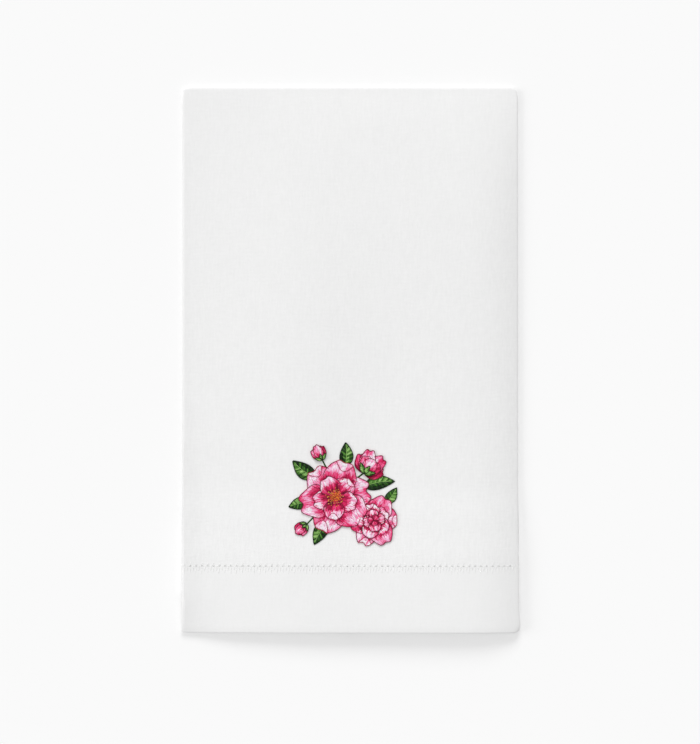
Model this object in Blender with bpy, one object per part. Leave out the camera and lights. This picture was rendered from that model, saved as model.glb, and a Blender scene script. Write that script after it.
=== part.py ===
"""A hemmed linen hand towel, folded for display and lying flat.

The cloth is 14 by 22 inches. Its two long sides are folded back until they nearly meet down
the middle of the back, and the strip is then folded across into a longer front half and a
shorter back half. Its right side shows everywhere, so the two hems lie at the near end, where
the front one overhangs the back one.

Metres, +Z up. +Y runs from the near, hemmed end to the cross fold, and +X to the right. The
origin is under the middle of the folded towel, on the surface that it lies on.

The cloth is a grid of stations across it and rows along it. Each side of the cloth, the right
side and the wrong side, has its own grid, and a rim joins the two along the cloth's four edges.
"""

from math import cos, exp, pi, radians, sin, sqrt

import bmesh
import bpy

MM = 0.001

# The cloth, as it was cut and hemmed
CLOTH_WIDTH = 355.6 * MM  # 14 in
CLOTH_LENGTH = 558.8 * MM  # 22 in, from hem edge to hem edge
HEM_DEPTH = 34.5 * MM
SHEET = 1.0 * MM
HEM_SHEET = 1.5 * MM  # the hem is the same cloth turned under, so it is thicker
HEM_STEP = 2.4 * MM  # over which the single cloth thickens into the hem
HEM_EDGE_RUN = 0.8 * MM  # over which the hem's edge is rounded off,
HEM_EDGE_PINCH = 0.3 * MM  # on each side of the cloth

# How it is folded
SEAM_GAP = 3.0 * MM  # between the two flaps, down the middle of the back
LAYER_GAP = 0.35 * MM  # between a face and its flaps
CENTRE_GAP = 0.6 * MM  # between the front half and the back half
FRONT_LENGTH = 289.5 * MM  # from the cross fold to the front hem's edge

# Each half of the folded strip is a face with two flaps behind it
PRESSED = 2 * SHEET + LAYER_GAP
HEM_PRESSED = 2 * HEM_SHEET + LAYER_GAP
FOLD_X = (CLOTH_WIDTH / 2 + SEAM_GAP / 2 - pi * PRESSED / 2) / 2
EDGE_X = FOLD_X + PRESSED / 2
FOLD_Y = FRONT_LENGTH / 2 - PRESSED - CENTRE_GAP / 2
FOLD_Z = PRESSED + CENTRE_GAP / 2
FRONT_HEM_Y = -FRONT_LENGTH / 2
FRONT_RUN = FOLD_Y - FRONT_HEM_Y
BACK_RUN = CLOTH_LENGTH - FRONT_RUN - pi * (PRESSED + CENTRE_GAP) / 2
BACK_HEM_Y = FOLD_Y - BACK_RUN

# A layer can't follow the step at a hem's end, and comes down past it
EASE_START = HEM_DEPTH + 3.0 * MM
HALF_EASE = 9 * MM
FRONT_EASE = 24 * MM

# Air between the layers, which lifts the middle of the towel above its pressed folds
CENTRE_LOFT = 0.9 * MM
FACE_LOFT = 1.9 * MM
LOFT_RUN = {"left": 48 * MM, "right": 36 * MM, "top": 95 * MM}
SHOULDER = 2.3  # how much steeper the right side and the top rise at their folds than further in
HEM_LOFT_SHARE = 0.35  # of the loft that is left at the front hem's edge
HEM_LOFT_RUN = 60 * MM

# The left fold springs up a little along its edge
LIP = 0.45 * MM
LIP_START = 1.5 * MM
LIP_RUN = 3.0 * MM

# The front half hangs free past the back half's end, and sinks by this at its hem's edge
DROOP = {"left": 2.6 * MM, "middle": 1.3 * MM, "right": 1.6 * MM}
DROOP_CORNER = 30 * MM

# How far a flap's hem lies past the hem of its face, at the side fold and at the seam
FLAP_SLIP = {"left": (0.3 * MM, 0.9 * MM), "right": (1.7 * MM, 0.5 * MM)}

# The outline as it was laid: wider at the hem end, and with its corners rounded
FLARE = 0.15 * MM
HEM_TUCK = 0.6  # of the extra width that the thicker hems would take at the side folds
HEM_BULGE = {"left": 0.0, "right": 0.9 * MM}
HEM_BULGE_RUN = 14 * MM
CORNER_RADIUS = {"top left": 2.6 * MM, "top right": 4.4 * MM, "hem": 1.2 * MM}

# Soft swells and troughs of the front face, in millimetres and degrees
FORM_COLUMNS = ("name", "x", "y", "half_width", "half_length", "turn", "height")
FORMS = (
    ("trough over the meeting flaps", -26, -30, 22, 84, 3, -0.60),
    ("swell left of the trough", -58, 0, 22, 110, 0, 0.26),
    ("swell right of the trough", 30, 12, 30, 96, -4, 0.34),
    ("dip below the cross fold", 8, 98, 60, 24, 6, -0.30),
    ("dip on the left edge", -80, -70, 12, 34, 0, -0.22),
    ("ripple on the right slope", 72, -18, 10, 44, 8, -0.26),
    ("swell above the right hem", 60, -92, 24, 22, 0, 0.22),
)

# Mesh steps
FACE_STEPS = 20
FLAP_STEPS = 5
SIDE_BEND_STEPS = 6
CROSS_BEND_STEPS = 8
EASE_STEPS = 3
FRONT_STEPS = 19
BACK_STEPS = 8

LINEN_COLOUR = (0.87, 0.87, 0.86, 1.0)
LINEN_ROUGHNESS = 0.9


def smooth(value, low, high):
    """0 below low, 1 above high, and an even S between them."""
    t = min(1.0, max(0.0, (value - low) / (high - low)))
    return t * t * (3 - 2 * t)


def mix(first, second, share):
    return first + (second - first) * share


def side_of(x):
    return "left" if x < 0 else "right"


def depth_at(from_hem, wrong):
    """How deep a side of the cloth lies under its right side's level, at a hem or above it."""
    sheet = mix(HEM_SHEET, SHEET, smooth(from_hem, HEM_DEPTH, HEM_DEPTH + HEM_STEP))
    pinch = HEM_EDGE_PINCH if from_hem == 0 else 0.0
    return sheet - pinch if wrong else pinch


def stack_at(from_hem):
    """The thickness of one half of the strip, a face and its flap pressed together."""
    return mix(HEM_PRESSED, PRESSED, smooth(from_hem, EASE_START, EASE_START + HALF_EASE))


def shoulder(value, run):
    """0 at 0 and 1 from run on, steepest at 0."""
    return 1 - (1 - min(1.0, max(0.0, value / run))) ** SHOULDER


def loft_share(x, y):
    """How much of the loft there is over a place: none at the folds, all in the middle."""
    from_edge = EDGE_X - abs(x)
    if x < 0:
        sides = smooth(from_edge, 0, LOFT_RUN["left"])
    else:
        sides = shoulder(from_edge, LOFT_RUN["right"])
    top = shoulder(FOLD_Y - y, LOFT_RUN["top"])
    near = smooth(y - FRONT_HEM_Y, 0, HEM_LOFT_RUN)
    return sides * top * mix(HEM_LOFT_SHARE, 1, near)


def lip_height(x, y):
    """How far the left fold springs up at a place."""
    from_edge = EDGE_X + x
    lip = smooth(from_edge, 0, LIP_START) * exp(-((from_edge / LIP_RUN) ** 2))
    return LIP * lip * smooth(FOLD_Y - y, 0, LOFT_RUN["top"])


def form_height(x, y):
    """The swells and troughs of the front face at a place."""
    total = 0.0
    for row in FORMS:
        form = dict(zip(FORM_COLUMNS, row))
        turn = radians(form["turn"])
        dx, dy = x - form["x"] * MM, y - form["y"] * MM
        aside = (dx * cos(turn) + dy * sin(turn)) / (form["half_width"] * MM)
        along = (dy * cos(turn) - dx * sin(turn)) / (form["half_length"] * MM)
        total += form["height"] * MM * exp(-(aside**2) - along**2)
    return total


def front_floor(x, y):
    """The height of the front half's underside."""
    from_back_hem = y - BACK_HEM_Y
    past_hem = smooth(from_back_hem, EASE_START, EASE_START + FRONT_EASE)
    under = mix(HEM_PRESSED, PRESSED, past_hem)
    free = max(0.0, -from_back_hem / (BACK_HEM_Y - FRONT_HEM_Y))
    corner = smooth(abs(x), FOLD_X - DROOP_CORNER, FOLD_X)
    droop = mix(DROOP["middle"], DROOP[side_of(x)], corner) * free**1.6
    return under + CENTRE_GAP + CENTRE_LOFT * loft_share(x, y) - droop


def stations():
    """The stations across the cloth: left flap, fold, face, fold and right flap.

    Each is (part, side, share), where share runs from 0 to 1 along a flap from its free edge
    to its fold, round a fold from the face to the flap, and across the face from left to
    right. Steps on the face are finer near the folds, where the loft rises.
    """
    flap = [i / FLAP_STEPS for i in range(FLAP_STEPS)]
    bend = [i / SIDE_BEND_STEPS for i in range(SIDE_BEND_STEPS + 1)]
    face = [(1 - cos(pi * i / FACE_STEPS)) / 2 for i in range(1, FACE_STEPS)]
    found = [("flap", -1, share) for share in flap]
    found += [("bend", -1, share) for share in reversed(bend)]
    found += [("face", 0, share) for share in face]
    found += [("bend", 1, share) for share in bend]
    return found + [("flap", 1, share) for share in reversed(flap)]


def rows():
    """The rows along the cloth, as (part, value): y on each half, the angle round the fold."""
    hem = [0.0, HEM_EDGE_RUN, HEM_DEPTH / 2, HEM_DEPTH, HEM_DEPTH + HEM_STEP]
    hem += [EASE_START + HALF_EASE * i / EASE_STEPS for i in range(EASE_STEPS + 1)]

    def half(name, start, steps):
        run = FOLD_Y - start - hem[-1]
        plain = [hem[-1] + run * i / steps for i in range(1, steps)]
        return [(name, start + distance) for distance in hem + plain]

    front = half("front", FRONT_HEM_Y, FRONT_STEPS)
    bend = [("bend", pi * i / CROSS_BEND_STEPS) for i in range(CROSS_BEND_STEPS + 1)]
    return front + bend + half("back", BACK_HEM_Y, BACK_STEPS)[::-1]


def across(station, stack, depth, face_height):
    """(x, h) of a station: its place across the strip, and its height above the flaps."""
    part, side, share = station
    radius = stack / 2
    flap_edge = FOLD_X - (CLOTH_WIDTH / 2 - FOLD_X - pi * radius)
    tuck = HEM_TUCK * (radius - PRESSED / 2)
    if part == "face":
        x = mix(-FOLD_X, FOLD_X, share)
        return x - tuck * x / FOLD_X, face_height(x) - depth
    if part == "bend":
        angle = pi * share
        reach = radius - depth
        raised = face_height(side * (FOLD_X + radius * sin(angle))) - stack if share < 0.5 else 0.0
        return side * (FOLD_X - tuck + reach * sin(angle)), radius + reach * cos(angle) + raised
    return side * (mix(flap_edge, FOLD_X, share) - tuck), depth


def slip_of(station, from_hem, run):
    """How far the cloth of a flap has slipped towards the hem, past its face."""
    part, side, share = station
    if part == "face":
        return 0.0
    at_fold, at_seam = FLAP_SLIP["left" if side < 0 else "right"]
    slip = at_fold * smooth(share, 0, 1) if part == "bend" else mix(at_seam, at_fold, share)
    return slip * (1 - smooth(from_hem, 0, run))


def pressed_point(station, row, wrong):
    """The place of a station of a row, on the right or wrong side, with a straight outline."""
    part, value = row
    if part == "bend":
        x, h = across(station, PRESSED, depth_at(CLOTH_LENGTH, wrong), lambda x: PRESSED)
        reach = CENTRE_GAP / 2 + h
        return x, FOLD_Y + reach * sin(value), FOLD_Z + reach * cos(value)

    front = part == "front"
    from_hem = value - (FRONT_HEM_Y if front else BACK_HEM_Y)
    stack = stack_at(from_hem)

    def face_height(x):
        if not front:
            return stack
        loft = (FACE_LOFT + form_height(x, value)) * loft_share(x, value)
        return stack + loft + lip_height(x, value)

    x, h = across(station, stack, depth_at(from_hem, wrong), face_height)
    y = value - slip_of(station, from_hem, FRONT_RUN if front else BACK_RUN)
    return x, y, front_floor(x, y) + h if front else stack - h


def laid_point(point):
    """The point in the outline as it was laid, flared, bulged and rounded at its corners."""
    x, y, z = point
    side = side_of(x)
    edge_x, edge_y = EDGE_X, FRONT_LENGTH / 2
    radius = CORNER_RADIUS[f"top {side}" if y > 0 else "hem"]
    a = min(1.0, max(0.0, (abs(x) - edge_x + radius) / radius))
    b = min(1.0, max(0.0, (abs(y) - edge_y + radius) / radius))
    inward_x = radius * a * (1 - sqrt(1 - b * b / 2))
    inward_y = radius * b * (1 - sqrt(1 - a * a / 2))
    wide = (abs(x) - inward_x) / edge_x
    bulge = HEM_BULGE[side] * wide**4 * smooth(-y, edge_y - HEM_BULGE_RUN, edge_y)
    aside = abs(x) - inward_x - FLARE * wide * y / edge_y / 2 + bulge
    along = abs(y) - inward_y
    return aside * (1 if x > 0 else -1), along * (1 if y > 0 else -1), z


def linen():
    material = bpy.data.materials.new("Linen")
    material.use_nodes = True
    shader = material.node_tree.nodes["Principled BSDF"]
    shader.inputs["Base Color"].default_value = LINEN_COLOUR
    shader.inputs["Roughness"].default_value = LINEN_ROUGHNESS
    shader.inputs["Metallic"].default_value = 0.0
    material.diffuse_color = LINEN_COLOUR
    return material


def build_towel():
    """The folded cloth, one closed solid."""
    across_cloth, along_cloth = stations(), rows()
    places = [
        [[laid_point(pressed_point(s, row, wrong)) for s in across_cloth] for row in along_cloth]
        for wrong in (False, True)
    ]
    every = [place for side in places for line in side for place in line]
    centre = [(min(p[k] for p in every) + max(p[k] for p in every)) / 2 for k in (0, 1)]

    bm = bmesh.new()
    right, wrong = [
        [[bm.verts.new((x - centre[0], y - centre[1], z)) for x, y, z in line] for line in side]
        for side in places
    ]
    last = len(across_cloth) - 1
    for r in range(len(along_cloth) - 1):
        for s in range(last):
            bm.faces.new((right[r][s], right[r][s + 1], right[r + 1][s + 1], right[r + 1][s]))
            bm.faces.new((wrong[r][s], wrong[r + 1][s], wrong[r + 1][s + 1], wrong[r][s + 1]))
        bm.faces.new((right[r][0], right[r + 1][0], wrong[r + 1][0], wrong[r][0]))
        bm.faces.new((right[r][last], wrong[r][last], wrong[r + 1][last], right[r + 1][last]))
    for s in range(last):
        bm.faces.new((right[0][s], wrong[0][s], wrong[0][s + 1], right[0][s + 1]))
        bm.faces.new((right[-1][s], right[-1][s + 1], wrong[-1][s + 1], wrong[-1][s]))
    mesh = bpy.data.meshes.new("towel")
    bm.to_mesh(mesh)
    bm.free()
    mesh.shade_smooth()
    mesh.set_sharp_from_angle(angle=radians(50))
    mesh.materials.append(linen())

    towel = bpy.data.objects.new("towel", mesh)
    bpy.context.scene.collection.objects.link(towel)
    return towel


def main():
    for obj in list(bpy.data.objects):
        bpy.data.objects.remove(obj)
    build_towel()


main()
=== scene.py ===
# A hemstitched linen hand towel, folded flat, with a flower spray embroidered above its hem
import math
import random

import bpy
import numpy as np
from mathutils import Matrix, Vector


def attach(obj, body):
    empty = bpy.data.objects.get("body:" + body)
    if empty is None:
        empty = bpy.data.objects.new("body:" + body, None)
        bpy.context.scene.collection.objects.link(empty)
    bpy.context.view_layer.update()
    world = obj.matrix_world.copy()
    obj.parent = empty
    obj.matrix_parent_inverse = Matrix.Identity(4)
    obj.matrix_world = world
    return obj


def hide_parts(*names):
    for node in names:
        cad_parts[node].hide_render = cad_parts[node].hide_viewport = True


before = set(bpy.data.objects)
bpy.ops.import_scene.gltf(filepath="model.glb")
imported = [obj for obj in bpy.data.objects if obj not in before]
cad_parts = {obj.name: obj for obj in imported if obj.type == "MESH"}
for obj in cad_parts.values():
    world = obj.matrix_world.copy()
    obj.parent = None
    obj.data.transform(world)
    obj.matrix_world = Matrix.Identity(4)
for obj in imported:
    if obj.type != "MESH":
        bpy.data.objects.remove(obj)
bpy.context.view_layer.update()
mm = 0.001

# how the towel is folded, in millimetres
towelFold = {
    "clothWidth": 355.6,  # 14 in
    "clothLength": 558.8,  # 22 in, from hem edge to hem edge
    "seamGap": 2.4,  # between the two flaps behind
    "ply": 0.30,
    "hemThick": 0.95,  # three plies
    "pressed": 1.05,  # a face and its flaps, at the folds
    "hemPressed": 2.3,  # the same where they are hems
    "centreGap": 0.4,  # between the front half and the back half
    "frontLength": 289.7,
    "easeStart": 35.0,  # past a hem's edge, where the layers begin to come down
    "halfEase": 24.0,
    "frontEase": 24.0,
    "flapRise": (33.8, 34.7),  # past a hem, a flap comes up against its face
    "flapRun": 3.0,
    "flapGap": 0.05,
    "lofts": (1.3, 2.5, 0.9),  # air in the back half, between the halves, in the front half
    "loftRun": (78.0, 34.0, 110.0),  # left, right, top
    "shoulder": 3.0,  # more makes the right side and the top rise more steeply at their folds
    "hemLoftShare": (0.62, 0.96),  # left and right
    "hemLoftRun": 90.0,
    "lip": (0.36, 1.30),  # how far the left fold springs up, at its middle and near the hem
    "lipStart": 0.7,
    "lipRun": (4.2, 11.0),
    "lipPower": 1.3,
    "lipGrowth": 90.0,  # from the middle down
    "lipTop": 60.0,  # where it dies out below the cross fold, and above the hem's edge
    "lipEnd": 22.0,
    "crossSquare": 0.35,  # 1 rounds the cross fold evenly, less makes it crisper
    "sideSquare": 0.6,  # the same for the side folds
    "droop": (2.4, 0.15, 0.4),  # left, middle, right, at the front hem's edge
    "droopCorner": 30.0,
    "droopPower": 1.6,
    "flapSlip": ((0.0, 0.2), (0.3, 0.1)),  # left and right, at the side fold and at the seam
    "hemTuck": 0.35,  # of the extra width that the hems would take
    "flare": 0.15,  # wider at the cross fold than at the hem, on each side
    "hemBulge": (0.0, 0.9),  # left and right
    "hemBulgeRun": 14.0,
    "cornerRadius": ((3.1, 4.2), (0.8, 3.2)),  # left and right, at the cross fold and at the hem
}

# soft swells and troughs: x, y, half width, half length, turn in degrees, height
frontForms = ((8, -46, 38, 66, 0, -1.30),)  # the front half sags into the back half's middle
faceForms = (
    (4, -50, 34, 60, 0, -0.95),  # trough where the stitches draw the cloth in
    (-58, 0, 22, 110, 0, 0.14),
    (44, 0, 26, 96, -4, 0.24),
    (8, 98, 60, 24, 6, -0.30),  # dip below the cross fold
    (-80, -70, 12, 34, 0, -0.22),
    (72, -18, 10, 44, 8, -0.26),
    (60, -92, 24, 22, 0, 0.22),
)

pressed = towelFold["pressed"]
halfLength = towelFold["frontLength"] / 2
halfWidth = towelFold["clothWidth"] / 2
foldX = (halfWidth + towelFold["seamGap"] / 2 - math.pi * pressed / 2) / 2
edgeX = foldX + pressed / 2
foldY = halfLength - pressed - towelFold["centreGap"] / 2
foldZ = pressed + towelFold["centreGap"] / 2
frontRun = foldY + halfLength
bendRun = math.pi * (pressed + towelFold["centreGap"]) / 2
backRun = towelFold["clothLength"] - frontRun - bendRun
backHemY = foldY - backRun


def smooth(value, low, high):
    t = np.clip((value - low) / (high - low), 0, 1)
    return t * t * (3 - 2 * t)


def mix(first, second, share):
    return first + (second - first) * share


def bySide(x, pair):
    return np.where(x < 0, pair[0], pair[1])


def loftShare(x, y):
    leftRun, rightRun, topRun = towelFold["loftRun"]
    power = towelFold["shoulder"]
    inward = edgeX - np.abs(x)
    right = 1 - (1 - np.clip(inward / rightRun, 0, 1)) ** power
    top = 1 - (1 - np.clip((foldY - y) / topRun, 0, 1)) ** power
    near = smooth(y + halfLength, 0, towelFold["hemLoftRun"])
    atHem = mix(*towelFold["hemLoftShare"], smooth(x, -foldX, foldX))
    return np.where(x < 0, smooth(inward, 0, leftRun), right) * top * mix(atHem, 1, near)


def bumps(x, y, forms):
    total = np.zeros_like(x)
    for cx, cy, wide, long, turn, height in forms:
        c, s = math.cos(math.radians(turn)), math.sin(math.radians(turn))
        aside = ((x - cx) * c + (y - cy) * s) / wide
        along = ((y - cy) * c - (x - cx) * s) / long
        total += height * np.exp(-(aside**2) - along**2)
    return total


def faceRise(x, y):  # how far the front face stands above its pressed height
    fold, inward = towelFold, edgeX + x
    low = smooth(-y, 0, fold["lipGrowth"])
    fall = np.clip(1 - inward / mix(*fold["lipRun"], low), 0, 1) ** fold["lipPower"]
    lip = mix(*fold["lip"], low) * smooth(inward, 0, fold["lipStart"]) * fall
    lip *= smooth(foldY - y, 0, fold["lipTop"]) * smooth(y + halfLength, 0, fold["lipEnd"])
    return (fold["lofts"][2] + bumps(x, y, faceForms)) * loftShare(x, y) + lip


def frontFloor(x, y):  # the height of the front half's underside
    fold, fromBackHem = towelFold, y - backHemY
    eased = smooth(fromBackHem, fold["easeStart"], fold["easeStart"] + fold["frontEase"])
    under = mix(fold["hemPressed"], pressed, eased)
    free = np.clip(-fromBackHem / (backHemY + halfLength), 0, None)
    corner = smooth(np.abs(x), foldX - fold["droopCorner"], foldX)
    left, middle, right = fold["droop"]
    droop = mix(middle, bySide(x, (left, right)), corner) * free ** fold["droopPower"]
    loft = sum(fold["lofts"][:2]) + bumps(x, y, frontForms)
    return under + fold["centreGap"] + loft * loftShare(x, y) - droop


def laidPlace(x, y):  # flared, bulged and rounded at the corners, as it was laid
    atFold, atHem = towelFold["cornerRadius"]
    radius = np.where(y > 0, bySide(x, atFold), bySide(x, atHem))
    a = np.clip((np.abs(x) - edgeX + radius) / radius, 0, 1)
    b = np.clip((np.abs(y) - halfLength + radius) / radius, 0, 1)
    inX = radius * a * (1 - np.sqrt(1 - b * b / 2))
    inY = radius * b * (1 - np.sqrt(1 - a * a / 2))
    wide = (np.abs(x) - inX) / edgeX
    run = smooth(-y, halfLength - towelFold["hemBulgeRun"], halfLength)
    bulge = bySide(x, towelFold["hemBulge"]) * wide**4 * run
    aside = np.abs(x) - inX - towelFold["flare"] * wide * y / halfLength / 2 + bulge
    return aside * np.where(x < 0, -1, 1), (np.abs(y) - inY) * np.where(y < 0, -1, 1)


def foldedPlace(across, along, depth):
    # across runs from the cloth's middle, along from the front hem's edge, depth under its right side
    across, along, depth = np.broadcast_arrays(*(np.asarray(v, float) for v in (across, along, depth)))
    front = along <= frontRun
    back = along >= frontRun + bendRun
    fromHem = np.where(front, along, np.where(back, towelFold["clothLength"] - along, frontRun))
    start = towelFold["easeStart"]
    stack = mix(towelFold["hemPressed"], pressed, smooth(fromHem, start, start + towelFold["halfEase"]))
    radius, side, out = stack / 2, np.where(across < 0, -1, 1), np.abs(across)
    turn = np.clip((out - foldX) / radius, 0, math.pi)  # 0 on the face, pi on a flap
    flap = np.clip(out - foldX - math.pi * radius, 0, None)
    reach = radius - depth
    tuck = towelFold["hemTuck"] * (radius - pressed / 2) * np.minimum(out / foldX, 1)
    bow = np.abs(np.sin(turn)) ** towelFold["sideSquare"]
    x = side * (np.minimum(out, foldX) + reach * bow - flap - tuck)
    yStraight = np.where(front, along - halfLength, backHemY + fromHem)

    # the front face is raised, the front flaps follow it, and the back flaps are raised too
    rise = faceRise(side * (np.minimum(out, foldX) + radius * bow - flap), yStraight)
    onFace = turn < math.pi / 2
    near = smooth(flap, 0, towelFold["flapRun"])
    gap = stack + rise - 2 * towelFold["ply"] - towelFold["flapGap"]
    follow = np.where(flap > 0, gap * near * smooth(fromHem, *towelFold["flapRise"]), 0)
    h = radius + reach * np.cos(turn) + np.where(front, np.where(onFace, rise, follow), 0)
    backRise = np.where(onFace, 0, towelFold["lofts"][0] * loftShare(x, yStraight))

    flapLength = halfWidth - foldX - math.pi * radius
    atFold, atSeam = (bySide(across, pair) for pair in zip(*towelFold["flapSlip"]))
    slip = np.where(flap > 0, mix(atFold, atSeam, flap / flapLength), atFold * smooth(turn, 0, math.pi))
    slip = slip * (1 - smooth(fromHem, 0, np.where(front, frontRun, backRun)))

    angle = np.clip((along - frontRun) / bendRun, 0, 1) * math.pi
    bendReach = towelFold["centreGap"] / 2 + h
    y = foldY + bendReach * np.abs(np.sin(angle)) ** towelFold["crossSquare"]
    y = np.where(front | back, yStraight - slip, y)
    z = np.where(back, stack - h + backRise, foldZ + bendReach * np.cos(angle))
    z = np.where(front, frontFloor(x, y) + h, z)
    return np.stack((*laidPlace(x, y), z), -1)


# the towel's own box is centred, as the solid's is
rimAcross = np.linspace(-halfWidth, halfWidth, 713)
rimAlong = (0, 1, 40, 80, frontRun + bendRun / 2)
rim = foldedPlace(*np.meshgrid(rimAcross, rimAlong), 0).reshape(-1, 3)
centre = np.append((rim.min(0)[:2] + rim.max(0)[:2]) / 2, 0)


def towelPlace(across, along, depth):
    return (foldedPlace(across, along, depth) - centre) * mm


class Wire:  # a socket of a node tree: an expression on wires adds its Math nodes
    def __init__(self, tree, socket=None):
        self.tree, self.socket = tree, socket

    def node(self, kind, settings=None, sockets=None, out=0):
        made = self.tree.nodes.new(kind)
        for name, value in (settings or {}).items():
            if name == "stops":
                setStops(made.color_ramp, value)
            else:
                setattr(made, name, value)
        fillSockets(made, sockets or {})
        return Wire(self.tree, made.outputs[out] if made.outputs else None)

    def other(self, name):  # another output of the same node
        return Wire(self.tree, self.socket.node.outputs[name])

    def __add__(self, other):
        return maths("ADD", self, other)

    def __sub__(self, other):
        return maths("SUBTRACT", self, other)

    def __rsub__(self, other):
        return maths("SUBTRACT", other, self)

    def __mul__(self, other):
        return maths("MULTIPLY", self, other)

    def __truediv__(self, other):
        return maths("DIVIDE", self, other)

    def __pow__(self, other):
        return maths("POWER", self, other)

    __radd__ = __add__
    __rmul__ = __mul__


def maths(operation, *values):
    wire = next(value for value in values if isinstance(value, Wire))
    return wire.node("ShaderNodeMath", {"operation": operation}, dict(enumerate(values)))


def fillSockets(node, sockets):
    for name, value in sockets.items():
        if isinstance(value, Wire):
            value.tree.links.new(value.socket, node.inputs[name])
        else:
            node.inputs[name].default_value = value


def setStops(ramp, stops):
    while len(ramp.elements) < len(stops):
        ramp.elements.new(0.5)
    for element, (place, colour) in zip(ramp.elements, stops):
        element.position = place
        element.color = (*colour, 1)


def axes(wire):
    split = wire.node("ShaderNodeSeparateXYZ", None, {"Vector": wire})
    return [split.other(axis) for axis in "XYZ"]


def vector(wire, x, y, z=0.0):
    return wire.node("ShaderNodeCombineXYZ", None, {"X": x, "Y": y, "Z": z})


def bump(height, depth, **under):  # depth in metres, and the relief that it lies on
    return height.node("ShaderNodeBump", None, {"Height": height, "Distance": depth, **under})


def stored(wire, name, out):  # an attribute of the piece: output 1 is a vector and 2 a number
    return wire.node("ShaderNodeAttribute", {"attribute_name": name}, out=out)


def newMaterial(name):
    material = bpy.data.materials.new(name)
    material.use_nodes = True
    tree = material.node_tree
    return material, Wire(tree), tree.nodes["Principled BSDF"]


def storeOn(mesh, name, values):  # a number or a vector for each point
    kind, field = ("FLOAT_VECTOR", "vector") if values.ndim > 1 else ("FLOAT", "value")
    mesh.attributes.new(name, kind, "POINT").data.foreach_set(field, values.astype(np.float32).ravel())


def putInScene(name, data):
    made = bpy.data.objects.new(name, data)
    bpy.context.scene.collection.objects.link(made)
    return made


linenLook = {
    "colour": (0.840, 0.840, 0.839),
    "threadPitch": 0.46,
    "threadWander": 0.24,
    # painted shade: the gaps between the woven threads are painted darker, and the threads' tops lighter
    "weaveGapPaintedShade": 0.02,
    "slubLength": 5.5,
    "slubWidth": 1.1,
    "slubShade": 0.030,
    "slubShares": (0.70, 1.15, 0.50),  # at the cross fold, above a hem and on a hem
    "weftShare": 0.8,
    "warpShare": 1.2,
    "mottle": (0.09, 0.07),  # blotches in a millimetre, across and along
    "mottleShade": 0.014,
    "hemPaintedLight": 0.012,  # painted light: the hem is painted lighter, as its extra plies let less light through
    "hemTop": 34.0,
    "roughness": 0.9,
    "slubRoughness": 0.08,
    "gloss": 0.25,
    "sheen": 0.06,
    "weaveDepth": 0.000015,
    "slubDepth": 0.00010,
}


def linenMaterial():
    look = linenLook
    material, wire, shader = newMaterial("washedLinen")
    across, along, _ = axes(stored(wire, "flatPlace", 1))

    def streaks(scaleX, scaleY, seed):
        place = vector(wire, across * scaleX, along * scaleY, seed)
        return wire.node("ShaderNodeTexNoise", None, {"Vector": place, "Scale": 1.0})

    wide, long = 1 / look["slubWidth"], 1 / look["slubLength"]
    weft = streaks(long, wide, 3.1)
    warp = streaks(wide, long, 8.7)
    mottle = streaks(*look["mottle"], 5.0) - 0.5
    half = towelFold["clothLength"] / 2
    fromMiddle = maths("ABSOLUTE", along - half)
    hem = maths("GREATER_THAN", fromMiddle, half - look["hemTop"])
    atFold, aboveHem, onHem = look["slubShares"]
    share = atFold + fromMiddle * ((aboveHem - atFold) / half) - hem * (aboveHem - onHem)
    slubs = ((weft - 0.5) * look["weftShare"] + (warp - 0.5) * look["warpShare"]) * share

    # plain weave: each thread is round, and over and under the ones that cross it in turn
    def wave(place, wander):
        place = place + (wander - 0.5) * look["threadWander"]
        return maths("SINE", place * (math.pi / look["threadPitch"]))

    warpWave, weftWave = wave(across, warp), wave(along, weft)
    over = warpWave * weftWave * 0.4
    warpTop = maths("ABSOLUTE", warpWave) * (over + 0.6)
    weftTop = maths("ABSOLUTE", weftWave) * (0.6 - over)
    weave = maths("MAXIMUM", warpTop, weftTop)

    # the hem's term is painted light; slubs and mottle are the linen's own uneven tone
    shade = 1 + slubs * look["slubShade"] * 2 + mottle * look["mottleShade"] * 2 + hem * look["hemPaintedLight"]
    # painted shade: darker in the gaps of the weave, lighter on the threads' tops, on top of the weave's
    # bump
    shade = shade + (weave - 0.6) * look["weaveGapPaintedShade"]
    colour = wire.node("ShaderNodeVectorMath", {"operation": "SCALE"}, {0: look["colour"], "Scale": shade})
    fillSockets(shader, {
        "Base Color": colour,
        "Roughness": look["roughness"] + slubs * look["slubRoughness"],
        "Normal": bump(slubs, look["slubDepth"], Normal=bump(weave, look["weaveDepth"])),
        "Specular IOR Level": look["gloss"],
        "Sheen Weight": look["sheen"],
    })
    return material


clothShape = {
    "hemTop": 33.9,  # where the turned-under ply ends, just below the hemstitch
    "turnIn": 9.0,  # the raw edge, tucked inside the hem
    "turnInRows": 4,
    "bendSteps": (6, 8),  # where the cloth turns under, and round the hem's edge
    "holePitch": 3.09,
    "holeWidth": 0.9,
    "holeSwell": 0.10,  # wider at half height, where the bars are bundled
    "holeLow": 35.20,
    "holeHigh": 35.75,
    "seamHole": (2.6, 0.28),  # within this of the middle the holes look into the seam, and are this narrow
    "holesEnd": 87.0,  # none round the folds
    "selvedge": 2.0,  # kept free of holes
    "frontRows": 62,
    "backRows": 18,
    "hemRows": 10,
    "rowAbove": 1.2,  # above the holes
    "bendRows": 12,
    "foldColumns": 10,
    "columnGap": 0.24,  # at least, between two columns of faces
    "sharpAngle": 60.0,
}


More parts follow.
